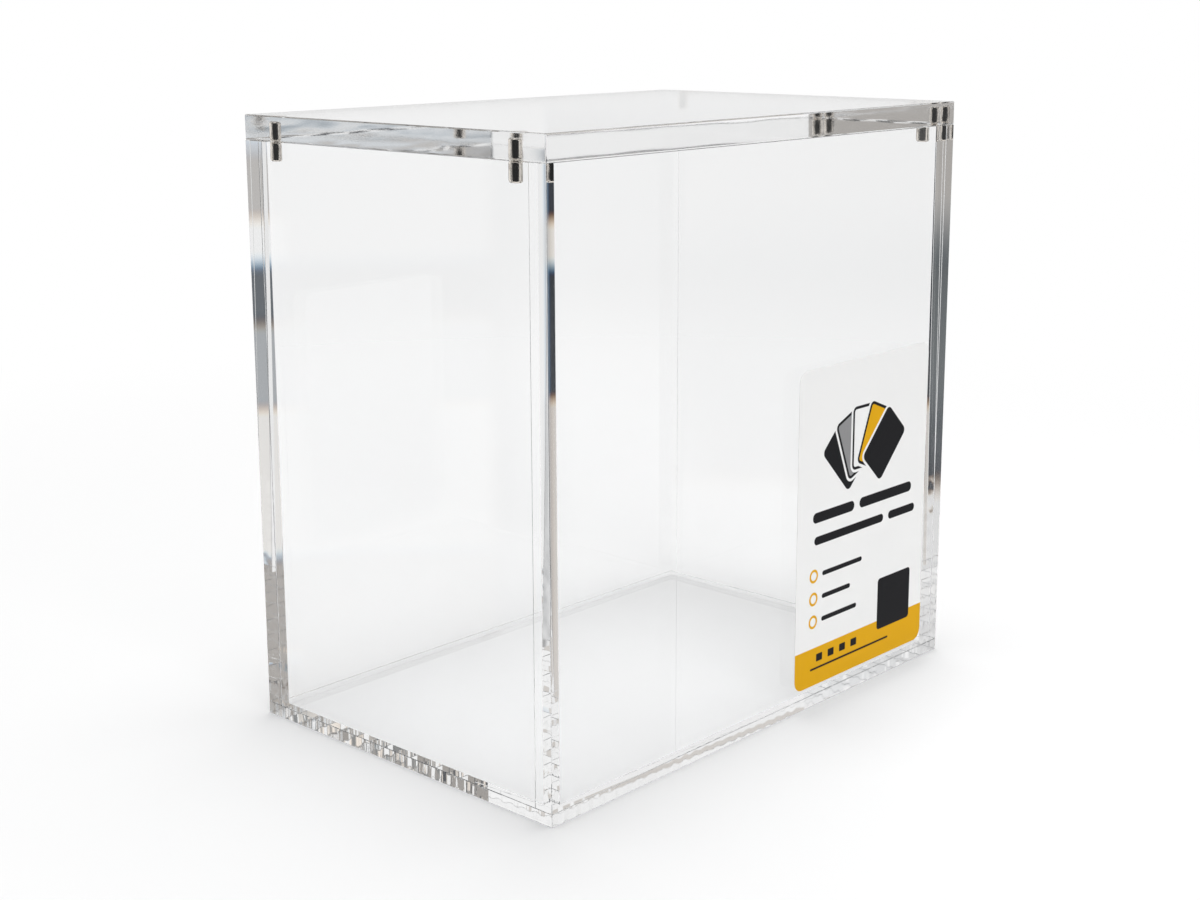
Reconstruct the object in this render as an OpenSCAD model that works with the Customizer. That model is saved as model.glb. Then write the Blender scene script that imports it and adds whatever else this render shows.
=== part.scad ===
// Clear display case for one sealed box of trading cards.
// Five cemented acrylic panels make an open-topped box: a base plate with four walls standing on it.
// A thicker flat lid lies on the walls. Eight small magnets, four sunk in the top edges of the
// end walls and four in the underside of the lid, hold it shut.
// The origin is the middle of the underside. X runs along the long walls, the labelled long wall
// faces -Y, and Z points up.

/* [Contents] */
// Clear length inside, along X
inside_length = 142; // [90:1:260]
// Clear depth inside, along Y
inside_depth = 89; // [60:1:160]
// Clear height inside, under the lid
inside_height = 140.5; // [110:0.5:240]

/* [Panels] */
// Thickness of the four walls
wall = 5; // [4:0.5:10]
// Thickness of the base plate
base_thickness = 3; // [2:0.5:8]
// Thickness of the lid
lid_thickness = 6; // [5:0.5:12]

/* [Magnets] */
// Diameter of a magnet, if the walls are thick enough for it
magnet_diameter = 3.7; // [2:0.1:4]
// Length of a magnet
magnet_length = 4.5; // [2:0.5:8]
// Radius of the rounded rim of a magnet
magnet_rim = 0.6; // [0.1:0.05:0.8]
// Distance of a magnet from the outside of the nearer long wall
magnet_inset = 10; // [8:0.5:20]
// Radial clearance of a magnet in its pocket
magnet_clearance = 0.05; // [0.02:0.01:0.2]
// How far the end of a magnet lies below the face that its pocket opens on
magnet_recess = 0.1; // [0.05:0.05:0.5]
// Acrylic left beside a pocket in a wall, at the least
wall_cover = 0.55; // [0.4:0.05:1]
// Acrylic left between the bottom of a lid pocket and the top of the lid, at the least
lid_cover = 0.7; // [0.5:0.1:1.5]

/* [Label] */
// Width of the label on the front wall
label_width = 56.5; // [10:0.5:70]
// Height of the label
label_height = 82; // [20:0.5:90]
// Thickness of the label
label_thickness = 0.12; // [0.05:0.01:0.3]
// Radius of the label's corners
label_corner = 3; // [0.5:0.25:4]
// Distance of the label from the right end of the front wall
label_from_end = 8.5; // [2:0.5:20]
// Height of the label's bottom edge above the underside
label_from_bottom = 5.5; // [3:0.5:15]

/* [Hidden] */

// Outer sizes
case_length = inside_length + 2 * wall;
case_depth = inside_depth + 2 * wall;
body_height = base_thickness + inside_height;

// Magnets: each is centred in the end wall's thickness. A thin wall takes a slimmer one, and a
// thin lid a shorter one
magnet_x = (case_length - wall) / 2;
magnet_y = case_depth / 2 - magnet_inset;
magnet_radius = min(magnet_diameter / 2, wall / 2 - wall_cover - magnet_clearance);
lid_magnet_length = min(magnet_length, lid_thickness - lid_cover - magnet_recess);
pocket_radius = magnet_radius + magnet_clearance;
magnet_sides = 48;

// A cut starts this far outside the face that it opens on
cut_overlap = 1;

// Label: its back lies on the outside of the front wall
label_x = case_length / 2 - label_from_end - label_width / 2;
label_z = label_from_bottom + label_height / 2;

// A wall of the given length and thickness, standing on the base plate around (x, y)
module wall_panel(x, y, length, thickness) {
    translate([x - length / 2, y - thickness / 2, base_thickness])
        cube([length, thickness, inside_height]);
}

// Round blind pocket that opens upwards at z = 0
module pocket(depth) {
    translate([0, 0, -depth])
        cylinder(r = pocket_radius, h = depth + cut_overlap, $fn = magnet_sides);
}

// Cylinder magnet standing on z = 0: its outline has bevelled rims that two discs fill out to round
module magnet(length) {
    radius = magnet_radius;
    rim = min(magnet_rim, radius / 2, length / 4);
    rotate_extrude($fn = magnet_sides) {
        polygon([
            [0, 0], [radius - rim, 0], [radius, rim],
            [radius, length - rim], [radius - rim, length], [0, length]
        ]);
        for (z = [rim, length - rim])
            intersection() {
                translate([radius - rim, z]) circle(r = rim, $fn = magnet_sides);
                square([radius, length]);
            }
    }
}

// Places its children over the magnets of the end wall on one side, -1 for left and 1 for right
module at_magnets(side) {
    for (row = [-1, 1])
        translate([side * magnet_x, row * magnet_y, 0]) children();
}

module end_wall(side) {
    color([0.93, 0.95, 0.97, 0.35])
        difference() {
            wall_panel(side * magnet_x, 0, wall, inside_depth);
            translate([0, 0, body_height]) at_magnets(side) pocket(magnet_length + magnet_recess);
        }
}

module long_wall(side) {
    color([0.93, 0.95, 0.97, 0.35])
        wall_panel(0, side * (case_depth - wall) / 2, case_length, wall);
}

module base_panel() {
    color([0.9, 0.92, 0.95, 0.4])
        translate([-case_length / 2, -case_depth / 2, 0])
            cube([case_length, case_depth, base_thickness]);
}

module front_wall() {
    long_wall(-1);
}

module back_wall() {
    long_wall(1);
}

module left_wall() {
    end_wall(-1);
}

module right_wall() {
    end_wall(1);
}

// One magnet in the top edge of an end wall; side and row are -1 or 1 along X and Y
module body_magnet(side, row) {
    color("silver")
        translate([side * magnet_x, row * magnet_y, body_height - magnet_recess - magnet_length])
            magnet(magnet_length);
}

// One magnet in the underside of the lid
module lid_magnet(side, row) {
    color("silver")
        translate([side * magnet_x, row * magnet_y, body_height + magnet_recess])
            magnet(lid_magnet_length);
}

module lid_plate() {
    color([0.88, 0.91, 0.95, 0.4])
        difference() {
            translate([-case_length / 2, -case_depth / 2, body_height])
                cube([case_length, case_depth, lid_thickness]);
            for (side = [-1, 1])
                translate([0, 0, body_height])
                    mirror([0, 0, 1]) at_magnets(side) pocket(lid_magnet_length + magnet_recess);
        }
}

module front_label() {
    color([0.93, 0.93, 0.92])
        translate([label_x, -case_depth / 2, label_z])
            rotate([90, 0, 0])
                linear_extrude(label_thickness) label_outline();
}

// Label outline: a rectangle with round corners, made of two bars and four discs
module label_outline() {
    square([label_width - 2 * label_corner, label_height], center = true);
    square([label_width, label_height - 2 * label_corner], center = true);
    for (x = [-1, 1] * (label_width / 2 - label_corner), y = [-1, 1] * (label_height / 2 - label_corner))
        translate([x, y]) circle(r = label_corner, $fn = 32);
}

base_panel();
front_wall();
back_wall();
left_wall();
right_wall();
body_magnet(-1, -1);  // body_magnet_front_left
body_magnet(1, -1);  // body_magnet_front_right
body_magnet(-1, 1);  // body_magnet_back_left
body_magnet(1, 1);  // body_magnet_back_right
lid_plate();
lid_magnet(-1, -1);  // lid_magnet_front_left
lid_magnet(1, -1);  // lid_magnet_front_right
lid_magnet(-1, 1);  // lid_magnet_back_left
lid_magnet(1, 1);  // lid_magnet_back_right
front_label();
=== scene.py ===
"""Clear acrylic display case for a sealed box of card packs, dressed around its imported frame.

The case is five cemented panels and a loose lid, with eight small magnets and one label. Each
sub-assembly is a class that reads its places from the frame, and each finish is a frozen dataclass.
All sizes are in metres in the frame's own axes: X along the long walls, -Y towards the labelled
wall, Z up, origin under the middle of the base.
"""

import enum
import logging
import math
from dataclasses import dataclass, field
from typing import Any, Mapping, Self, Sequence

import bmesh
import bpy
from mathutils import Euler, Matrix, Vector


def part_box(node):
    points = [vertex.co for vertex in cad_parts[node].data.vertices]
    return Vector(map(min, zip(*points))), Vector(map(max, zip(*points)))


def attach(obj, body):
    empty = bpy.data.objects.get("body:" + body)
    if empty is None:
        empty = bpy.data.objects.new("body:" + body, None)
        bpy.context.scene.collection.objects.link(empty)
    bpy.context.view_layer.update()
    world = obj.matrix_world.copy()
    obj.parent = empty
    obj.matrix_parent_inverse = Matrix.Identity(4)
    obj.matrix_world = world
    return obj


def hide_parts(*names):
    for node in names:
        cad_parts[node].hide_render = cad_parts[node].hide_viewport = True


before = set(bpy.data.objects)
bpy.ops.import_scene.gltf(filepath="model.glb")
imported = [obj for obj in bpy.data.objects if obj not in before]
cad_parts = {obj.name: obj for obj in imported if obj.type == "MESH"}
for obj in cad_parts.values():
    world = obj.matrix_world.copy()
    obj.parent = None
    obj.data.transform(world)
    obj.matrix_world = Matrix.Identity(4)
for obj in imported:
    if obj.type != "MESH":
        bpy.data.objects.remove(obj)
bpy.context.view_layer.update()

MM = 0.001
SIDES = ("left", "right")
ROWS = ("front", "back")

log = logging.getLogger("display_case")

Colour = tuple[float, float, float]
Pair = tuple[float, float]
Place = tuple[float, float, float]

BLACK: Colour = (0.0, 0.0, 0.0)
WHITE: Colour = (1.0, 1.0, 1.0)
EDGE_SHADOW: Colour = (0.55, 0.56, 0.58)


class Body(enum.Enum):
    """The two bodies of the frame."""

    CASE = "case"
    LID = "lid"


class Slot(enum.Enum):
    """Material slots of the record."""

    ACRYLIC = "clear_acrylic"
    NICKEL = "nickel_plate"
    LABEL = "label_paper"


class Side(enum.IntEnum):
    """Order of the materials on a sheet."""

    BROAD = 0
    CUT = 1
    JOINED = 2


# ---------------------------------------------------------------- node trees


class Wrapped:
    """An output socket in a node tree that takes part in Python arithmetic."""

    kind: str

    def __init__(self, tree: "Tree", socket: bpy.types.NodeSocket) -> None:
        """Wraps an output socket.

        Args:
            tree: The tree that the socket is in.
            socket: The output socket.
        """
        self.tree = tree
        self.socket = socket

    def fit(self, value: Any) -> Any:
        """An input in the form that the node takes."""
        return value

    def math(self, operation: str, *others: Any, first: Any = None) -> Self:
        """Adds one Math or Vector Math node.

        Args:
            operation: The node's operation.
            others: The inputs after this one.
            first: What goes before this value, for a reflected operator.

        Returns:
            The node's result.
        """
        values = [self, *others] if first is None else [first, self]
        inputs = {index: self.fit(value) for index, value in enumerate(values)}
        node = self.tree.node(self.kind, {"operation": operation}, inputs)
        return type(self)(self.tree, node.outputs[0])

    def __add__(self, other: Any) -> Self:
        """This plus other."""
        return self.math("ADD", other)

    __radd__ = __add__

    def __sub__(self, other: Any) -> Self:
        """This minus other."""
        return self.math("SUBTRACT", other)

    def __rsub__(self, other: Any) -> Self:
        """Other minus this."""
        return self.math("SUBTRACT", first=other)

    def __mul__(self, other: Any) -> Self:
        """This times other."""
        return self.math("MULTIPLY", other)

    __rmul__ = __mul__

    def __truediv__(self, other: Any) -> Self:
        """This over other."""
        return self.math("DIVIDE", other)

    def __abs__(self) -> Self:
        """This without its sign."""
        return self.math("ABSOLUTE")


class Val(Wrapped):
    """A number in a node tree."""

    kind = "ShaderNodeMath"

    def least(self, other: Any) -> "Val":
        """The smaller of this and other."""
        return self.math("MINIMUM", other)

    def most(self, other: Any) -> "Val":
        """The larger of this and other."""
        return self.math("MAXIMUM", other)

    def hypotenuse(self, other: "Val") -> "Val":
        """The length of a vector with this and other as its parts."""
        return (self * self + other * other).math("SQRT")

    def step(self, low: Any, high: Any) -> "Val":
        """Rises smoothly from 0 at low to 1 at high.

        Args:
            low: Where the rise starts.
            high: Where it ends.

        Returns:
            The eased value, clamped to 0 and 1.
        """
        node = self.tree.node(
            "ShaderNodeMapRange",
            {"interpolation_type": "SMOOTHSTEP", "clamp": True},
            {"Value": self, "From Min": low, "From Max": high},
        )
        return Val(self.tree, node.outputs["Result"])


class Trio(Wrapped):
    """Three numbers in a node tree, such as a point or a red, a green and a blue value."""

    kind = "ShaderNodeVectorMath"

    def fit(self, value: Any) -> Any:
        """An input, where a plain number stands for three like ones."""
        return (value,) * 3 if isinstance(value, (int, float)) else value

    def turned(self) -> "Trio":
        """This as an angle from -180 to 180 degrees."""
        return self.math("WRAP", 180.0, -180.0)

    def rise(self, feather: float) -> "Trio":
        """Rises smoothly from 0 at -feather to 1 at feather.

        Args:
            feather: Half the width of the rise.

        Returns:
            The three eased values, clamped to 0 and 1.
        """
        from_min, from_max = 7, 8
        node = self.tree.node(
            "ShaderNodeMapRange",
            {"data_type": "FLOAT_VECTOR", "interpolation_type": "SMOOTHSTEP", "clamp": True},
            {"Vector": self, from_min: (-feather,) * 3, from_max: (feather,) * 3},
        )
        return Trio(self.tree, node.outputs["Vector"])


class Tree:
    """A node tree that is written as Python expressions."""

    def __init__(self, tree: bpy.types.NodeTree) -> None:
        """Empties the tree.

        Args:
            tree: The tree of a material or a world.
        """
        self.tree = tree
        tree.nodes.clear()

    def node(
        self,
        kind: str,
        settings: Mapping[str, Any] | None = None,
        inputs: Mapping[Any, Any] | None = None,
    ) -> bpy.types.Node:
        """Adds any node, with its settings first and then its sockets.

        Args:
            kind: The node's type.
            settings: Its properties; "stops" holds a ramp's positions and colours.
            inputs: Socket name or index to a value, a Val or an output socket.

        Returns:
            The new node.
        """
        node = self.tree.nodes.new(kind)
        for name, value in (settings or {}).items():
            if name == "stops":
                ramp = node.color_ramp
                while len(ramp.elements) < len(value):
                    ramp.elements.new(0.5)
                for element, (place, colour) in zip(ramp.elements, value):
                    element.position = place
                    element.color = (*colour, 1.0)
            else:
                setattr(node, name, value)
        for name, value in (inputs or {}).items():
            socket = node.inputs[name]
            if isinstance(value, Wrapped):
                self.tree.links.new(value.socket, socket)
            elif isinstance(value, bpy.types.NodeSocket):
                self.tree.links.new(value, socket)
            elif isinstance(value, tuple) and len(value) == 3 and socket.type == "RGBA":
                socket.default_value = (*value, 1.0)
            else:
                socket.default_value = value
        return node

    def val(self, kind: str, output: str, settings: Any = None, inputs: Any = None) -> Val:
        """Adds a node and wraps one output.

        Args:
            kind: The node's type.
            output: The name of the output.
            settings: As for node.
            inputs: As for node.

        Returns:
            The output as a number.
        """
        return Val(self, self.node(kind, settings, inputs).outputs[output])

    def axes(self, vector: bpy.types.NodeSocket) -> tuple[Val, Val, Val]:
        """The three parts of a vector."""
        split = self.node("ShaderNodeSeparateXYZ", None, {0: vector})
        return tuple(Val(self, split.outputs[axis]) for axis in "XYZ")

    def place(self) -> bpy.types.NodeSocket:
        """The point on the piece, in metres in the row frame."""
        return self.node("ShaderNodeTexCoord").outputs["Object"]

    def noise(self, place: bpy.types.NodeSocket, scale: float, detail: float) -> Val:
        """Adds a noise texture.

        Args:
            place: Where on the piece the noise is read.
            scale: How many bumps there are in a metre.
            detail: How many finer layers it has.

        Returns:
            The noise, around 0.5.
        """
        inputs = {"Vector": place, "Scale": scale, "Detail": detail}
        return self.val("ShaderNodeTexNoise", "Fac", None, inputs)

    def bump(self, depth: float, height: Val) -> bpy.types.Node:
        """A Bump node with the given depth in metres and height from 0 to 1."""
        return self.node("ShaderNodeBump", None, {"Distance": depth, "Height": height})

    def see_through(self, colour: Colour) -> bpy.types.NodeSocket:
        """A shader that lets every ray pass straight on, tinted."""
        return self.node("ShaderNodeBsdfTransparent", None, {"Color": colour}).outputs[0]

    def glow(self, strength: float) -> bpy.types.NodeSocket:
        """A white emission shader."""
        inputs = {"Color": WHITE, "Strength": strength}
        return self.node("ShaderNodeEmission", None, inputs).outputs[0]

    def finish(self, kind: str, shader: bpy.types.NodeSocket) -> None:
        """Joins a shader to a new output node of the given type."""
        self.node(kind, None, {"Surface": shader})

    def mix(self, share: Any, below: Any, above: Any) -> bpy.types.NodeSocket:
        """Mixes two colours.

        Args:
            share: How much of above shows, from 0 to 1.
            below: A colour or a colour socket.
            above: A colour or a colour socket.

        Returns:
            The mixed colour.
        """
        node = self.node("ShaderNodeMix", {"data_type": "RGBA"}, {"Factor": share})
        for index, colour in ((6, below), (7, above)):
            if isinstance(colour, tuple):
                node.inputs[index].default_value = (*colour, 1.0)
            else:
                self.tree.links.new(colour, node.inputs[index])
        return node.outputs[2]

    def shade(self, share: Any, below: Any, above: Any) -> bpy.types.NodeSocket:
        """Mixes two shaders.

        Args:
            share: How much of above shows.
            below: A shader socket.
            above: A shader socket.

        Returns:
            The mixed shader.
        """
        node = self.node("ShaderNodeMixShader", None, {0: share, 1: below, 2: above})
        return node.outputs[0]


def new_material(name: str) -> tuple[bpy.types.Material, Tree]:
    """Makes an empty material.

    Args:
        name: The material's name.

    Returns:
        The material and its tree.
    """
    material = bpy.data.materials.new(name)
    material.use_nodes = True
    return material, Tree(material.node_tree)


# ------------------------------------------------------------------ finishes


@dataclass(frozen=True)
class ClearAcrylic:
    """Polished clear cast acrylic, seen on the face of a sheet or on its cut edge.

    An edge may have waves of a depth and length, which fade out below wave_top and are lengthwise
    times longer along the edge of a flat sheet. A sawn edge has ripples of a depth and length.
    """

    name: str
    shadow_tint: Colour = (0.997, 0.998, 0.999)
    index: float = 1.49
    tint: Colour = (0.994, 0.996, 0.997)
    haze: float = 0.0
    wave: float = 0.0
    wave_length: float = 5.0 * MM
    wave_top: float = 42.0 * MM
    fade_from: float = 0.4
    lengthwise: float = 1.0
    ripple: float = 0.0
    ripple_length: float = 4.0 * MM
    drift: float = 3.0
    drift_scale: float = 0.35
    graze_power: float = 5.0
    graze_share: float = 0.9

    def build(self) -> bpy.types.Material:
        """Makes the material.

        Returns:
            Glass for every ray but those from lamps and matt surfaces, which pass through it.
        """
        material, tree = new_material(self.name)
        surface = {
            "Base Color": self.tint,
            "Roughness": self.haze,
            "IOR": self.index,
            "Transmission Weight": 1.0,
        }
        place = tree.place()
        unevenness = []
        if self.wave > 0:
            unevenness.append((self.wave, self.swell(tree, place)))
        if self.ripple > 0:
            unevenness.append((self.ripple, self.saw_marks(tree, place)))
        for depth, height in unevenness:
            bump = tree.bump(depth, height)
            if "Normal" in surface:
                tree.tree.links.new(surface["Normal"], bump.inputs["Normal"])
            surface["Normal"] = bump.outputs["Normal"]
        glass = tree.node("ShaderNodeBsdfPrincipled", None, surface)
        glance = tree.val("ShaderNodeLayerWeight", "Facing", None, {"Blend": 0.5})
        path = tree.node("ShaderNodeLightPath").outputs
        from_lamp = Val(tree, path["Is Shadow Ray"])
        shut = glance.math("POWER", self.graze_power) * from_lamp * self.graze_share
        film = tree.shade(shut, tree.see_through(self.shadow_tint), tree.see_through(BLACK))
        soft = from_lamp.most(Val(tree, path["Is Diffuse Ray"]))
        tree.finish("ShaderNodeOutputMaterial", tree.shade(soft, glass.outputs[0], film))
        return material

    def swell(self, tree: Tree, place: bpy.types.NodeSocket) -> Val:
        """The soft random waves that polishing leaves near the foot of an edge.

        Args:
            tree: The material's tree.
            place: The point on the piece.

        Returns:
            The waves' height, from 0 to 1.
        """
        drawn = Trio(tree, place) * (1.0, 1.0, self.lengthwise)
        noise = tree.noise(drawn.socket, 1 / self.wave_length, 1.0)
        height = tree.axes(place)[2]
        return noise * (1.0 - height.step(self.wave_top * self.fade_from, self.wave_top))

    def saw_marks(self, tree: Tree, place: bpy.types.NodeSocket) -> Val:
        """Upright scallops along a sawn edge, unevenly spaced.

        Args:
            tree: The material's tree.
            place: The point on the piece.

        Returns:
            The scallops' height, from -1 to 1.
        """
        along, across, _ = tree.axes(place)
        drift = tree.noise(place, self.drift_scale / self.ripple_length, 1.0)
        turn = (along + across) * (2 * math.pi / self.ripple_length)
        return (turn + drift * self.drift).math("SINE")


@dataclass(frozen=True)
class CementedJoint:
    """The inside of a solvent-cemented joint, where two sheets have become one."""

    name: str = "cemented_joint"

    def build(self) -> bpy.types.Material:
        """Makes the material.

        Returns:
            A surface that lets every ray pass straight on into the next sheet.
        """
        material, tree = new_material(self.name)
        tree.finish("ShaderNodeOutputMaterial", tree.see_through(WHITE))
        return material


@dataclass(frozen=True)
class NickelPlate:
    """Bright nickel plating on a small magnet, with fine tumbling marks.

    What faces the viewer has a painted dark reflection in its colour, standing in for an unlit room
    that it would mirror, and turns to the plating's colour at the sides.
    """

    name: str = "nickel_plate"
    colour: Colour = (0.90, 0.84, 0.77)
    dull_colour: Colour = (0.70, 0.64, 0.58)
    # Painted reflection: the near-black colour that the plating gets where it faces the viewer
    painted_dark_reflection: Colour = (0.004, 0.0035, 0.003)
    roughness: float = 0.16
    mark_length: float = 0.25 * MM
    mark_depth: float = 0.0001 * MM
    patch_scale: float = 0.3
    dull_step: Pair = (0.45, 0.7)
    dull_share: float = 0.25
    dull_roughness: float = 0.04
    painted_reflection_step: Pair = (0.06, 0.24)
    face_on: float = 0.00002

    def build(self) -> bpy.types.Material:
        """Makes the material.

        Returns:
            A metal with a faint orange-peel surface, patches of duller plating and a painted dark
            reflection where it faces the viewer.
        """
        material, tree = new_material(self.name)
        place = tree.place()
        marks = tree.noise(place, 1 / self.mark_length, 3.0)
        patches = tree.noise(place, self.patch_scale / self.mark_length, 2.0)
        bump = tree.bump(self.mark_depth, marks)
        dull = patches.step(*self.dull_step)
        plated = tree.mix(dull * self.dull_share, self.colour, self.dull_colour)
        turned = tree.val("ShaderNodeLayerWeight", "Facing", None, {"Blend": 0.5})
        # A bake sees every point face-on, and gets the plating's own colour there
        baked = 1.0 - turned.step(0.0, self.face_on)
        # Painted reflection: face-on the colour turns dark in place of a mirrored unlit room, and
        # towards the sides the plating's own colour shows
        bright = turned.step(*self.painted_reflection_step).most(baked)
        surface = {
            "Base Color": tree.mix(bright, self.painted_dark_reflection, plated),
            "Metallic": 1.0,
            "Roughness": self.roughness + dull * self.dull_roughness,
            "Normal": bump.outputs["Normal"],
        }
        metal = tree.node("ShaderNodeBsdfPrincipled", None, surface)
        tree.finish("ShaderNodeOutputMaterial", metal.outputs[0])
        return material


@dataclass(frozen=True)
class LabelPrint:
    """A gloss sticker with a plain geometric print in black, grey and amber.

    Places and sizes on the print are in millimetres, right of and above the label's middle.
    """

    centre: Vector
    height: float
    name: str = "label_print"
    paper: Colour = (0.95, 0.95, 0.945)
    ink: Colour = (0.010, 0.010, 0.012)
    grey: Colour = (0.30, 0.30, 0.305)
    amber: Colour = (0.80, 0.42, 0.002)
    edge: float = 0.10 * MM
    grain_scale: float = 6000.0
    grain_depth: float = 0.002 * MM
    roughness: float = 0.30
    grain_roughness: float = 0.08
    film_specular: float = 0.08
    fan_foot: Pair = (0.0, 8.0)
    fan_turns: Sequence[float] = (-44.0, -22.0, 0.0, 22.0, 44.0)
    card_middle: Pair = (0.0, 12.5)
    card_half: Pair = (5.6, 8.2)
    card_corner: float = 1.5
    card_gap: float = 0.7
    card_border: float = 0.75
    band_height: float = 10.0
    bars: Sequence[tuple[Pair, float, float]] = (
        ((-13.0, 3.0), 7.5, 1.35),
        ((10.0, 3.0), 10.5, 1.35),
        ((-6.0, -3.0), 14.0, 1.1),
        ((17.5, -3.0), 5.0, 1.1),
    )
    entries: Sequence[tuple[Pair, float]] = (
        ((-21.0, -12.0), 8.0),
        ((-21.0, -18.0), 5.5),
        ((-21.0, -24.0), 7.0),
    )
    ring_radius: float = 1.45
    ring_half_line: float = 0.33
    entry_gap: float = 4.2
    entry_radius: float = 0.62
    block: tuple[Pair, Pair, float] = ((15.0, -26.5), (7.5, 7.0), 1.0)
    rule: tuple[Pair, float, float] = ((-4.5, -36.6), 17.0, 0.28)
    squares: Sequence[float] = (-18.0, -13.0, -8.0, -3.0)
    square_height: float = -33.9
    square: tuple[Pair, float] = ((1.3, 1.0), 0.25)

    def build(self) -> bpy.types.Material:
        """Makes the material.

        Returns:
            The printed paper under a thin gloss film.
        """
        material, tree = new_material(self.name)
        x, _, z = tree.axes(tree.place())
        across = (x - self.centre.x) / MM
        up = (z - self.centre.z) / MM
        colour: Any = self.paper
        for shape, ink in self.print_shapes(tree, across, up):
            colour = tree.mix(shape, colour, ink)
        grain = tree.noise(tree.place(), self.grain_scale, 2.0)
        bump = tree.bump(self.grain_depth, grain)
        # Light that the print scatters stays white, so that no amber glow lies on the floor
        scattered = tree.node("ShaderNodeLightPath").outputs["Is Diffuse Ray"]
        surface = {
            "Base Color": tree.mix(scattered, colour, self.paper),
            "Roughness": self.roughness + grain * self.grain_roughness,
            "Specular IOR Level": self.film_specular,
            "Normal": bump.outputs["Normal"],
        }
        print_film = tree.node("ShaderNodeBsdfPrincipled", None, surface)
        tree.finish("ShaderNodeOutputMaterial", print_film.outputs[0])
        return material

    def inked(self, distance: Val) -> Val:
        """1 where a distance is below 0, with the soft edge of a print."""
        return 1.0 - distance.step(-self.edge / MM, self.edge / MM)

    def pill(self, across: Val, up: Val, middle: Pair, half_length: float, radius: float) -> Val:
        """How far a point is outside a bar with round ends.

        Args:
            across: How far right of the label's middle it is.
            up: How far above it.
            middle: The bar's middle.
            half_length: Half the length of its straight part.
            radius: Half its thickness.

        Returns:
            The distance, below 0 inside the bar.
        """
        beyond = (abs(across - middle[0]) - half_length).most(0.0)
        return beyond.hypotenuse(up - middle[1]) - radius

    def panel(self, across: Val, up: Val, middle: Pair, half: Pair, corner: float) -> Val:
        """How far a point is outside a rounded rectangle.

        Args:
            across: How far right of the label's middle it is.
            up: How far above it.
            middle: The rectangle's middle.
            half: Half its width and half its height.
            corner: The radius of its corners.

        Returns:
            The distance, below 0 inside the rectangle.
        """
        beside = (abs(across - middle[0]) - (half[0] - corner)).most(0.0)
        over = (abs(up - middle[1]) - (half[1] - corner)).most(0.0)
        return beside.hypotenuse(over) - corner

    def card_fan(self, across: Val, up: Val) -> list[tuple[Val, Colour]]:
        """Five plain cards that fan out from one point, the last one in front.

        Args:
            across: How far right of the label's middle it is.
            up: How far above it.

        Returns:
            Each shape as a mask with its ink.
        """
        shapes = []
        fills = (self.ink, self.grey, self.paper, self.amber, self.ink)
        for turn, fill in zip(self.fan_turns, fills):
            cosine = math.cos(math.radians(turn))
            sine = math.sin(math.radians(turn))
            right = across - self.fan_foot[0]
            above = up - self.fan_foot[1]
            along = right * cosine - above * sine
            away = right * sine + above * cosine
            card = self.panel(along, away, self.card_middle, self.card_half, self.card_corner)
            shapes.append((self.inked(card - self.card_gap), self.paper))
            shapes.append((self.inked(card), self.ink))
            shapes.append((self.inked(card + self.card_border), fill))
        return shapes

    def print_shapes(self, tree: Tree, across: Val, up: Val) -> list[tuple[Val, Colour]]:
        """The print, from the bottom layer up.

        Args:
            tree: The material's tree, which is not used.
            across: How far right of the label's middle a point is.
            up: How far above it.

        Returns:
            Each shape as a mask with its ink.
        """
        shapes = self.card_fan(across, up)
        for bar in self.bars:
            shapes.append((self.inked(self.pill(across, up, *bar)), self.ink))
        for middle, half_length in self.entries:
            ring = abs(self.pill(across, up, middle, 0.0, self.ring_radius)) - self.ring_half_line
            shapes.append((self.inked(ring), self.amber))
            beside = (middle[0] + self.entry_gap + half_length, middle[1])
            bar = self.pill(across, up, beside, half_length, self.entry_radius)
            shapes.append((self.inked(bar), self.ink))
        half_height = self.height / MM / 2
        band = up - (self.band_height - half_height)
        shapes.append((self.inked(band), self.amber))
        shapes.append((self.inked(self.panel(across, up, *self.block)), self.ink))
        shapes.append((self.inked(self.pill(across, up, *self.rule)), self.ink))
        for place in self.squares:
            square = self.panel(across, up, (place, self.square_height), *self.square)
            shapes.append((self.inked(square), self.ink))
        return shapes


@dataclass(frozen=True)
class LabelBacking:
    """The plain underside and the cut edge of the sticker."""

    name: str = "label_backing"
    paper: Colour = (0.84, 0.84, 0.83)
    fibre: Colour = (0.80, 0.80, 0.79)
    fibre_scale: float = 2500.0
    roughness: float = 0.6
    fibre_roughness: float = 0.1

    def build(self) -> bpy.types.Material:
        """Makes the material.

        Returns:
            Matt paper with faint fibres.
        """
        material, tree = new_material(self.name)
        fibres = tree.noise(tree.place(), self.fibre_scale, 3.0)
        surface = {
            "Base Color": tree.mix(fibres, self.paper, self.fibre),
            "Roughness": self.roughness + fibres * self.fibre_roughness,
        }
        paper = tree.node("ShaderNodeBsdfPrincipled", None, surface)
        tree.finish("ShaderNodeOutputMaterial", paper.outputs[0])
        return material


# ---------------------------------------------------------------- geometry


@dataclass(frozen=True)
class Block:
    """An axis-aligned box."""

    low: Vector
    high: Vector

    @classmethod
    def of_node(cls, node: str) -> "Block":
        """The box of a node of the frame."""
        low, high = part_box(node)
        return cls(Vector(low), Vector(high))

    @property
    def centre(self) -> Vector:
        """The middle of the box."""
        return (self.low + self.high) / 2

    @property
    def size(self) -> Vector:
        """The box's length along each axis."""
        return self.high - self.low

    def holds(self, point: Vector) -> bool:
        """True if a point lies inside the box."""
        return all(a < p < b for a, p, b in zip(self.low, point, self.high))

    def common(self, other: "Block") -> "Block":
        """What this box and another share; it is flat where they only touch."""
        low = Vector(map(max, self.low, other.low))
        high = Vector(map(min, self.high, other.high))
        return Block(low, high)


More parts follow.
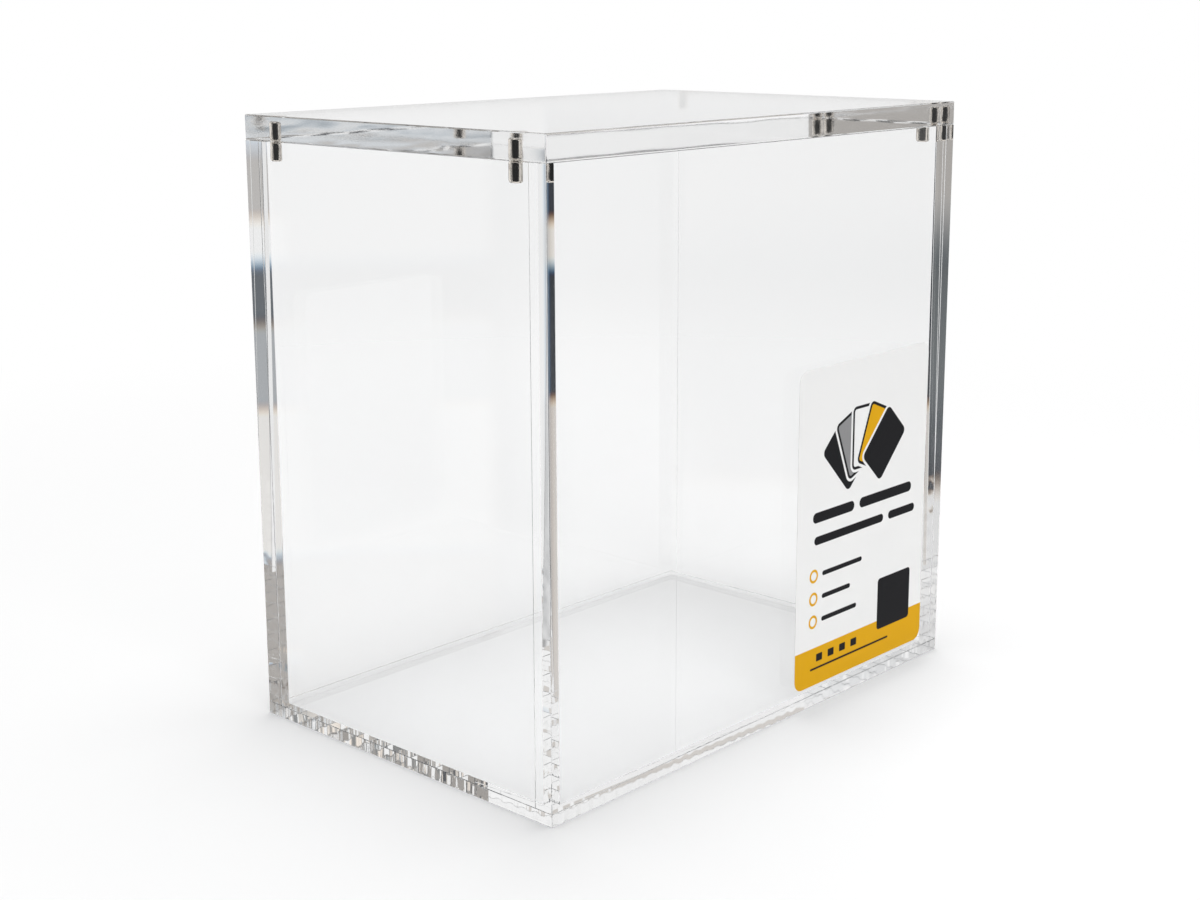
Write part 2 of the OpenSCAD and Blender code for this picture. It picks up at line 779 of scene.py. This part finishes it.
def make_object(
    name: str, mesh: bmesh.types.BMesh, materials: Sequence[bpy.types.Material]
) -> bpy.types.Object:
    """Turns a bmesh into an object at the origin.

    Args:
        name: The piece's name.
        mesh: The bmesh, which is freed.
        materials: The piece's materials in slot order.

    Returns:
        The new object, linked to the scene.
    """
    data = bpy.data.meshes.new(name)
    mesh.to_mesh(data)
    mesh.free()
    for material in materials:
        data.materials.append(material)
    piece = bpy.data.objects.new(name, data)
    bpy.context.collection.objects.link(piece)
    return piece


def new_block(block: Block) -> bmesh.types.BMesh:
    """Makes a box.

    Args:
        block: Where the box lies.

    Returns:
        The box as a bmesh.
    """
    mesh = bmesh.new()
    bmesh.ops.create_cube(mesh, size=1.0)
    bmesh.ops.scale(mesh, vec=block.size, verts=mesh.verts)
    bmesh.ops.translate(mesh, vec=block.centre, verts=mesh.verts)
    return mesh


def new_cylinder(radius: float, depth: float, sides: int) -> bmesh.types.BMesh:
    """Makes an upright cylinder around the origin.

    Args:
        radius: Its radius.
        depth: Its length.
        sides: How many faces go round.

    Returns:
        The cylinder as a bmesh.
    """
    mesh = bmesh.new()
    bmesh.ops.create_cone(
        mesh, cap_ends=True, segments=sides, radius1=radius, radius2=radius, depth=depth
    )
    return mesh


def bevel(
    mesh: bmesh.types.BMesh, edges: Sequence[bmesh.types.BMEdge], width: float, segments: int
) -> None:
    """Rounds edges of a bmesh.

    Args:
        mesh: The bmesh.
        edges: The edges to round.
        width: How far the rounding reaches on each face.
        segments: How many faces go round.
    """
    bmesh.ops.bevel(
        mesh,
        geom=list(edges),
        offset=width,
        offset_type="OFFSET",
        affect="EDGES",
        segments=segments,
        profile=0.5,
        material=-1,
        clamp_overlap=True,
    )


@dataclass
class AcrylicSheet:
    """One sheet of a cemented case, or its lid: a box with polished rims and any magnet pockets."""

    node: str
    body: Body
    neighbours: Sequence[str]
    magnets: Sequence[str] = ()
    rim: float = 0.14 * MM
    rim_steps: int = 2
    pocket_clearance: float = 0.05 * MM
    pocket_spare: float = 0.03 * MM
    pocket_sides: int = 48
    cutter_spare: float = 1 * MM
    lift: float = 0.0
    weld: float = 1e-7
    along_axis: float = 0.999

    def block(self) -> Block:
        """The sheet's box, with its underside raised by lift."""
        box = Block.of_node(self.node)
        return Block(box.low + Vector((0, 0, self.lift)), box.high)

    def joints(self) -> list[Block]:
        """The flat boxes where the sheet touches each neighbour."""
        own = self.block()
        return [own.common(Block.of_node(name)) for name in self.neighbours]

    def cut_at_joints(self, mesh: bmesh.types.BMesh) -> None:
        """Divides the faces along the outline of each joint.

        Args:
            mesh: The sheet's bmesh.
        """
        own = self.block()
        for joint in self.joints():
            for axis in range(3):
                if joint.size[axis] < self.rim:
                    continue
                normal = Vector([float(axis == i) for i in range(3)])
                for place in (joint.low, joint.high):
                    if own.low[axis] + self.rim < place[axis] < own.high[axis] - self.rim:
                        bmesh.ops.bisect_plane(
                            mesh,
                            geom=[*mesh.verts, *mesh.edges, *mesh.faces],
                            dist=self.weld,
                            plane_co=place,
                            plane_no=normal,
                        )

    def is_open_edge(self, edge: bmesh.types.BMEdge) -> bool:
        """True if a polished rim or a seam groove runs along an edge.

        Args:
            edge: An edge between two faces of the sheet.

        Returns:
            False for a flat edge, and where a neighbour fills the corner outside it.
        """
        normals = [face.normal for face in edge.link_faces]
        if len(normals) != 2 or normals[0].dot(normals[1]) > 0.5:
            return False
        middle = (edge.verts[0].co + edge.verts[1].co) / 2
        reach = self.rim / 2
        blocks = [Block.of_node(name) for name in self.neighbours]
        outside = middle + reach * (normals[0] + normals[1])
        return not any(block.holds(outside) for block in blocks)

    def is_joined(self, face: bmesh.types.BMFace) -> bool:
        """True if a face is the inside of a cemented joint.

        Args:
            face: A face of the sheet.

        Returns:
            False for every face that air touches.
        """
        middle = face.calc_center_median()
        slack = Vector((1, 1, 1)) * (self.rim / 10)
        for joint in self.joints():
            flat = min(range(3), key=lambda axis: joint.size[axis])
            around = Block(joint.low - slack, joint.high + slack)
            if abs(face.normal[flat]) >= self.along_axis and around.holds(middle):
                return True
        return False

    def build(self, finishes: Sequence[bpy.types.Material]) -> bpy.types.Object:
        """Makes the sheet.

        Args:
            finishes: The materials of its broad faces, its cut edges and its joints.

        Returns:
            The finished piece, which stands for its node.
        """
        mesh = new_block(self.block())
        self.cut_at_joints(mesh)
        rims = [edge for edge in mesh.edges if self.is_open_edge(edge)]
        bevel(mesh, rims, self.rim, self.rim_steps)
        bmesh.ops.recalc_face_normals(mesh, faces=mesh.faces)
        thin = min(range(3), key=lambda axis: self.block().size[axis])
        for face in mesh.faces:
            broad = abs(face.normal[thin]) > self.along_axis
            side = Side.BROAD if broad else Side.CUT
            face.material_index = Side.JOINED if self.is_joined(face) else side
        piece = make_object(self.node + "_sheet", mesh, finishes)
        for magnet in self.magnets:
            self.drill(piece, Block.of_node(magnet))
        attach(piece, self.body.value)
        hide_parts(self.node)
        return piece

    def drill(self, piece: bpy.types.Object, magnet: Block) -> None:
        """Cuts the pocket of one magnet, open on the face that the magnet is near.

        Args:
            piece: The sheet.
            magnet: The magnet's box.
        """
        own = self.block()
        radius = magnet.size.x / 2 + self.pocket_clearance
        opens_up = own.high.z - magnet.high.z < magnet.low.z - own.low.z
        low = magnet.low.z - self.pocket_spare if opens_up else own.low.z - self.cutter_spare
        high = own.high.z + self.cutter_spare if opens_up else magnet.high.z + self.pocket_spare
        mesh = new_cylinder(radius, high - low, self.pocket_sides)
        middle = Vector((magnet.centre.x, magnet.centre.y, (low + high) / 2))
        bmesh.ops.translate(mesh, vec=middle, verts=mesh.verts)
        for face in mesh.faces:
            face.material_index = Side.JOINED
        cutter = make_object("pocket_cutter", mesh, list(piece.data.materials))
        cut = piece.modifiers.new("pocket", "BOOLEAN")
        cut.operation = "DIFFERENCE"
        cut.solver = "EXACT"
        cut.object = cutter
        graph = bpy.context.evaluated_depsgraph_get()
        drilled = bpy.data.meshes.new_from_object(piece.evaluated_get(graph))
        piece.modifiers.clear()
        old = piece.data
        piece.data = drilled
        bpy.data.meshes.remove(old)
        drilled.name = piece.name
        bpy.data.objects.remove(cutter)


@dataclass
class CaseShell:
    """The open-topped box: the base and the four walls that stand on it."""

    base: str = "base_panel"
    base_rim: float = 0.08 * MM
    walls: Sequence[str] = ("front_wall", "back_wall", "left_wall", "right_wall")

    def build(
        self, finishes: Sequence[bpy.types.Material], sawn: bpy.types.Material
    ) -> list[bpy.types.Object]:
        """Makes the five sheets.

        Args:
            finishes: As for AcrylicSheet.build.
            sawn: The finish of the base's cut edges.

        Returns:
            The five pieces.
        """
        long_walls, end_walls = self.walls[:2], self.walls[2:]
        base = AcrylicSheet(self.base, Body.CASE, self.walls, rim=self.base_rim)
        pieces = [base.build((finishes[Side.BROAD], sawn, finishes[Side.JOINED]))]
        sheets = [AcrylicSheet(wall, Body.CASE, (self.base, *end_walls)) for wall in long_walls]
        for wall, side in zip(end_walls, SIDES):
            magnets = [f"body_magnet_{row}_{side}" for row in ROWS]
            sheets.append(AcrylicSheet(wall, Body.CASE, (self.base, *long_walls), magnets))
        return pieces + [sheet.build(finishes) for sheet in sheets]


@dataclass
class Lid:
    """The loose lid: one thick sheet with four magnet pockets in its underside."""

    node: str = "lid_plate"
    rim: float = 0.3 * MM
    air_gap: float = 0.04 * MM

    def build(self, finishes: Sequence[bpy.types.Material]) -> bpy.types.Object:
        """Makes the lid's sheet.

        Args:
            finishes: As for AcrylicSheet.build.

        Returns:
            The lid's piece.
        """
        magnets = [f"lid_magnet_{row}_{side}" for row in ROWS for side in SIDES]
        sheet = AcrylicSheet(self.node, Body.LID, (), magnets, rim=self.rim, lift=self.air_gap)
        return sheet.build(finishes)


@dataclass
class Magnet:
    """One plated cylinder magnet with rounded rims."""

    node: str
    body: Body
    rim: float = 0.6 * MM
    rim_steps: int = 5
    sides: int = 48

    def build(self, finish: bpy.types.Material) -> bpy.types.Object:
        """Makes the magnet.

        Args:
            finish: Its plating.

        Returns:
            The piece, which stands for its node.
        """
        box = Block.of_node(self.node)
        mesh = new_cylinder(box.size.x / 2, box.size.z, self.sides)
        caps = [face for face in mesh.faces if abs(face.normal.z) > 0.9]
        rims = {edge for face in caps for edge in face.edges}
        bevel(mesh, list(rims), self.rim, self.rim_steps)
        for face in mesh.faces:
            face.smooth = True
        bmesh.ops.translate(mesh, vec=box.centre, verts=mesh.verts)
        bmesh.ops.recalc_face_normals(mesh, faces=mesh.faces)
        piece = make_object(self.node + "_plated", mesh, [finish])
        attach(piece, self.body.value)
        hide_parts(self.node)
        return piece


@dataclass
class FrontLabel:
    """The sticker on the outside of the front wall."""

    node: str = "front_label"
    corner: float = 3.0 * MM
    corner_steps: int = 8
    gap: float = 0.01 * MM

    def build(self) -> bpy.types.Object:
        """Makes the sticker as a thin sheet with round corners.

        Returns:
            The piece, which stands for its node.
        """
        box = Block.of_node(self.node)
        body = Block(box.low, box.high - Vector((0, self.gap, 0)))
        mesh = new_block(body)
        runs = [(edge, edge.verts[0].co - edge.verts[1].co) for edge in mesh.edges]
        corners = [edge for edge, run in runs if abs(run.normalized().y) > 0.9]
        bevel(mesh, corners, self.corner, self.corner_steps)
        bmesh.ops.recalc_face_normals(mesh, faces=mesh.faces)
        for face in mesh.faces:
            face.material_index = 0 if face.normal.y < -0.9 else 1
        finishes = [LabelPrint(box.centre, box.size.z).build(), LabelBacking().build()]
        piece = make_object(self.node + "_sticker", mesh, finishes)
        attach(piece, Body.CASE.value)
        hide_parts(self.node)
        return piece


# ------------------------------------------------------------------ studio


@dataclass(frozen=True)
class SoftBox:
    """A patch of the studio's surroundings, with all angles in degrees.

    Azimuth 0 lies along +X, the right end of the case, and 90 along +Y, behind it.
    """

    azimuth: float
    elevation: float
    half_width: float
    half_height: float
    brightness: float
    feather: float
    colour: Colour = WHITE


# Wide panels below, beside, behind and over the case
WIDE_PANELS: Sequence[SoftBox] = (
    SoftBox(0, -65, 180, 44, 0.92, 3.0),
    SoftBox(-135, 16, 38, 12, 0.85, 4.0),
    SoftBox(130, 12, 28, 8, 0.85, 3.0),
    SoftBox(-45, 12, 28, 8, 0.85, 2.0),
    SoftBox(-90, -8, 30, 30, 0.92, 3.0),
    SoftBox(95, -2, 22, 24, 0.92, 3.0),
    SoftBox(42, 19, 42, 22.5, 0.88, 1.5),
    SoftBox(0, 90, 180, 30, 0.9, 6),
)

# Low panels behind the case, and a pair each off its front right and back left corners
LOW_PANELS: Sequence[SoftBox] = (
    SoftBox(59.28, -10, 15, 12, 0.86, 0.12),
    SoftBox(39.28, -7.45, 5, 0.7, 0.78, 0.3, (1.0, 0.97, 0.92)),
    SoftBox(36.28, -22.3, 8, 10.0, 0.62, 0.25, (1.0, 0.95, 0.90)),
    SoftBox(-37, -5, 8, 8, 0.45, 2.0),
    SoftBox(-37, -17, 8, 7, 0.80, 2.0),
    SoftBox(131, -5, 9, 8, 0.45, 2.0),
    SoftBox(131, -17, 9, 7, 0.80, 2.0),
)

# The stack of bands off its front right corner, which the upright edges and the lid mirror
SIDE_BANDS: Sequence[SoftBox] = (
    SoftBox(-55, -14.6, 9, 2.4, 0.80, 0.4, (1.0, 0.98, 0.95)),
    SoftBox(-55, -11.0, 9, 1.3, 0.42, 0.3, (0.92, 0.96, 1.0)),
    SoftBox(-57.3, -8.7, 5.0, 1.0, 0.15, 0.4, (0.80, 0.90, 1.0)),
    SoftBox(-55, -6.0, 9, 1.9, 0.52, 0.4, (1.0, 0.97, 0.94)),
    SoftBox(-57.3, -7.2, 5.0, 0.65, 0.92, 0.3),
    SoftBox(-55, 1.9, 9, 6.4, 0.70, 0.3, (0.93, 0.965, 1.0)),
    SoftBox(-55, 7.4, 9, 2.2, 0.95, 0.8, (1.0, 0.97, 0.93)),
    SoftBox(-55, 1.6, 9, 1.7, 0.30, 0.8, (0.82, 0.92, 1.0)),
    SoftBox(-55, -2.0, 9, 1.3, 0.85, 0.8, (0.95, 0.98, 1.0)),
    SoftBox(-55, 4.1, 5.5, 0.14, 0.86, 0.18, (1.0, 0.97, 0.93)),
    SoftBox(-55, -4.05, 4.5, 0.12, 0.82, 0.16, (0.95, 0.98, 1.0)),
    SoftBox(-55, -19.6, 9, 2.6, 0.36, 0.3, (1.0, 0.94, 0.88)),
    SoftBox(-57.3, -21.9, 5.0, 0.45, 0.92, 0.15),
    SoftBox(-57.3, -20.7, 5.0, 0.30, 0.10, 0.15),
    SoftBox(-57.3, -19.9, 5.0, 0.20, 0.75, 0.12),
    SoftBox(-55, 15, 9, 7.0, 0.38, 0.8, (1.0, 0.94, 0.88)),
)

# High and low bands there, which the sawn edge of the base mirrors
FOOT_BANDS: Sequence[SoftBox] = (
    SoftBox(-47, 27, 2.6, 5.5, 0.30, 1.0, (1.0, 0.93, 0.86)),
    SoftBox(-47, -27, 2.6, 5.5, 0.34, 1.0, (1.0, 0.93, 0.86)),
    SoftBox(-57, 27, 7.5, 5.5, 0.20, 1.0, (0.85, 0.95, 1.0)),
    SoftBox(-57, -27, 7.5, 5.5, 0.16, 1.0, (1.0, 0.95, 0.90)),
    SoftBox(-51.5, 27, 1.1, 5.5, 0.90, 0.9, (1.0, 0.90, 0.80)),
    SoftBox(-53, -27, 1.2, 5.5, 0.80, 0.9, (1.0, 0.92, 0.84)),
    SoftBox(-57, 27, 1.4, 5.5, 0.92, 0.9),
    SoftBox(-58, -27, 1.4, 5.5, 0.92, 0.9),
)

# Smaller panels all round, which the remaining edges mirror
EDGE_PANELS: Sequence[SoftBox] = (
    SoftBox(-38, 17, 6, 4.0, 0.75, 2.0),
    SoftBox(-16, -6, 14, 4.0, 0.95, 2.0),
    SoftBox(106, -6, 16, 4.0, 0.95, 2.0),
    SoftBox(150, -10, 11, 3, 0.13, 2.0, (0.85, 0.95, 1.0)),
    SoftBox(150, 0, 11, 7.0, 0.42, 1.2, (1.0, 0.95, 0.90)),
    SoftBox(150, -20, 11, 5.2, 0.73, 0.5),
    SoftBox(146, 26, 12, 6.0, 0.85, 2.0),
    SoftBox(-135, 35, 24, 9, 0.85, 3.0),
)


@dataclass
class Studio:
    """A white floor under soft light, with the dark room and the soft boxes that glossy edges show.

    Where soft boxes overlap, the later one covers the earlier one.
    """

    lens: float = 55.264
    sensor_width: float = 36.0
    shift_y: float = -0.05
    clip: Pair = (0.01, 20.0)
    camera_place: Vector = field(
        default_factory=lambda: Vector((-341.63, -308.37, 175.95)) * MM
    )
    yaw: float = 47.389
    pitch: float = 12.013
    roll: float = -0.197
    room: Colour = (0.016, 0.021, 0.030)
    ambient: float = 0.30
    fringe_across: float = 0.012
    fringe_up: float = 0.045
    soft_boxes: Sequence[SoftBox] = (
        *WIDE_PANELS,
        *LOW_PANELS,
        *SIDE_BANDS,
        *FOOT_BANDS,
        *EDGE_PANELS,
    )
    floor_radius: float = 0.60
    floor_sides: int = 96
    floor_colour: Colour = (0.805, 0.805, 0.805)
    floor_lift: float = 0.04
    floor_gap: float = 0.05 * MM
    floor_fade: Pair = (0.36, 0.85)
    lamp_aim: Place = (0.0, 0.0, 0.06)
    lamps: Sequence[tuple[str, Place, float, float]] = (
        ("lamp_over", (0.28, 0.12, 2.1), 1.6, 36.0),
        ("lamp_front", (-1.0, -2.3, 1.6), 2.0, 31.0),
    )

    def build_camera(self) -> bpy.types.Object:
        """Places the camera where the photograph was taken from.

        Returns:
            The scene's camera.
        """
        data = bpy.data.cameras.new("camera")
        data.lens = self.lens
        data.sensor_width = self.sensor_width
        data.shift_y = self.shift_y
        data.clip_start, data.clip_end = self.clip
        camera = bpy.data.objects.new("camera", data)
        bpy.context.collection.objects.link(camera)
        turn = Euler((math.radians(90 - self.pitch), 0, -math.radians(self.yaw)), "XYZ")
        camera.matrix_world = (
            Matrix.Translation(self.camera_place)
            @ turn.to_matrix().to_4x4()
            @ Matrix.Rotation(math.radians(self.roll), 4, "Z")
        )
        bpy.context.scene.camera = camera
        return camera

    def ray_shares(self, tree: Tree) -> tuple[Val, Val]:
        """Tells how a ray came to the floor or the world.

        Args:
            tree: The tree of the floor or the world.

        Returns:
            1 for what is seen straight or through clear sheets, and 1 for what only a mirror shows.
        """
        path = tree.node("ShaderNodeLightPath").outputs
        mirrored = Val(tree, path["Glossy Depth"]).least(1.0)
        scattered = Val(tree, path["Diffuse Depth"]).least(1.0)
        return 1.0 - mirrored.most(scattered), mirrored * (1.0 - scattered)

    def spread(self, tree: Tree, angle: Val, fringe: float) -> Trio:
        """Splits an angle into one for red, green and blue light, which acrylic bends unequally.

        Args:
            tree: The world's tree.
            angle: The angle of green light, in degrees.
            fringe: How far red and blue lie from it.

        Returns:
            The three angles.
        """
        inputs = {"X": angle - fringe, "Y": angle, "Z": angle + fringe}
        return Trio(tree, tree.node("ShaderNodeCombineXYZ", None, inputs).outputs[0])

    def build_world(self) -> bpy.types.World:
        """Makes the white backdrop, and the dark room with soft boxes that mirrors show.

        Returns:
            The scene's world.
        """
        world = bpy.data.worlds.new("studio")
        world.use_nodes = True
        tree = Tree(world.node_tree)
        x, y, z = tree.axes(tree.node("ShaderNodeTexCoord").outputs["Generated"])
        degree = math.degrees(1)
        azimuth = self.spread(tree, y.math("ARCTAN2", x) * degree, self.fringe_across)
        elevation = self.spread(tree, z.math("ARCSINE") * degree, self.fringe_up)
        room = elevation * 0.0 + self.room
        for box in self.soft_boxes:
            beside = box.half_width - abs((azimuth - box.azimuth).turned())
            over = box.half_height - abs(elevation - box.elevation)
            mask = beside.rise(box.feather) * over.rise(box.feather)
            lit = tuple(box.brightness * part for part in box.colour)
            room = (lit - room).math("MULTIPLY_ADD", mask, room)
        direct, mirrored = self.ray_shares(tree)
        plain = tree.mix(direct, (self.ambient,) * 3, WHITE)
        shown = tree.mix(mirrored, plain, room.socket)
        back = tree.node("ShaderNodeBackground", None, {"Color": shown, "Strength": 1.0})
        tree.finish("ShaderNodeOutputWorld", back.outputs[0])
        bpy.context.scene.world = world
        return world

    def build_floor(self) -> bpy.types.Object:
        """Makes a pale disc that keeps the case's shadow and fades into the white backdrop.

        Returns:
            The floor, which glossy surfaces don't mirror.
        """
        mesh = bmesh.new()
        bmesh.ops.create_circle(
            mesh, cap_ends=True, segments=self.floor_sides, radius=self.floor_radius
        )
        bmesh.ops.translate(mesh, vec=(0, 0, -self.floor_gap), verts=mesh.verts)
        material, tree = new_material("floor_paper")
        direct, mirrored = self.ray_shares(tree)
        from_middle = {0: tree.place()}
        far = tree.val("ShaderNodeVectorMath", "Value", {"operation": "LENGTH"}, from_middle)
        fade_from, fade_to = (share * self.floor_radius for share in self.floor_fade)
        matt = tree.node("ShaderNodeBsdfDiffuse", None, {"Color": self.floor_colour}).outputs[0]
        bright = tree.node("ShaderNodeAddShader", None, {0: matt, 1: tree.glow(self.floor_lift)})
        lifted = tree.shade(direct, matt, bright.outputs[0])
        faded = tree.shade(far.step(fade_from, fade_to) * direct, lifted, tree.glow(1.0))
        shown = tree.shade(mirrored, faded, tree.see_through(WHITE))
        tree.finish("ShaderNodeOutputMaterial", shown)
        floor = make_object("floor", mesh, [material])
        return floor

    def build_lamps(self) -> list[bpy.types.Object]:
        """Makes the soft lamps, which light matt surfaces and stay out of reflections.

        Returns:
            The lamps.
        """
        made = []
        for name, place, size, power in self.lamps:
            data = bpy.data.lights.new(name, "AREA")
            data.shape = "DISK"
            data.size = size
            data.energy = power
            lamp = bpy.data.objects.new(name, data)
            lamp.location = place
            aim = (Vector(self.lamp_aim) - Vector(place)).to_track_quat("-Z", "Y")
            lamp.rotation_euler = aim.to_euler()
            lamp.visible_glossy = False
            lamp.visible_transmission = False
            lamp.visible_camera = False
            bpy.context.collection.objects.link(lamp)
            made.append(lamp)
        return made

    def set_bounces(self) -> None:
        """Lets light run the whole length of a sheet by total reflection."""
        cycles = bpy.context.scene.cycles
        cycles.max_bounces = 64
        cycles.glossy_bounces = 60
        cycles.transmission_bounces = 60
        cycles.transparent_max_bounces = 64
        cycles.diffuse_bounces = 4
        cycles.caustics_reflective = False
        cycles.caustics_refractive = False
        bpy.context.scene.view_settings.view_transform = "Standard"

    def build(self) -> None:
        """Builds the camera, the floor, the lamps and the world."""
        self.build_camera()
        self.build_floor()
        self.build_lamps()
        self.build_world()
        self.set_bounces()


def main() -> None:
    """Builds the case and its studio, and reports each piece."""
    logging.basicConfig(level=logging.INFO, format="%(message)s")
    Studio().build()
    face = ClearAcrylic("clear_acrylic_face").build()
    edge = ClearAcrylic("clear_acrylic_edge", EDGE_SHADOW, wave=0.05 * MM).build()
    sawn = ClearAcrylic(
        "clear_acrylic_sawn_edge", EDGE_SHADOW, haze=0.03, ripple=0.014 * MM
    ).build()
    joint = CementedJoint().build()
    pieces = CaseShell().build((face, edge, joint), sawn)
    lid_edge = ClearAcrylic(
        "clear_acrylic_lid_edge",
        EDGE_SHADOW,
        haze=0.06,
        wave=0.03 * MM,
        wave_length=24 * MM,
        wave_top=1.0,
        lengthwise=8.0,
    ).build()
    pieces.append(Lid().build((face, lid_edge, joint)))
    plating = NickelPlate().build()
    for body, prefix in ((Body.CASE, "body_magnet"), (Body.LID, "lid_magnet")):
        for row in ROWS:
            for side in SIDES:
                pieces.append(Magnet(f"{prefix}_{row}_{side}", body).build(plating))
    pieces.append(FrontLabel().build())
    for piece in pieces:
        log.info("%s: %d faces", piece.name, len(piece.data.polygons))


if __name__ == "__main__":
    main()
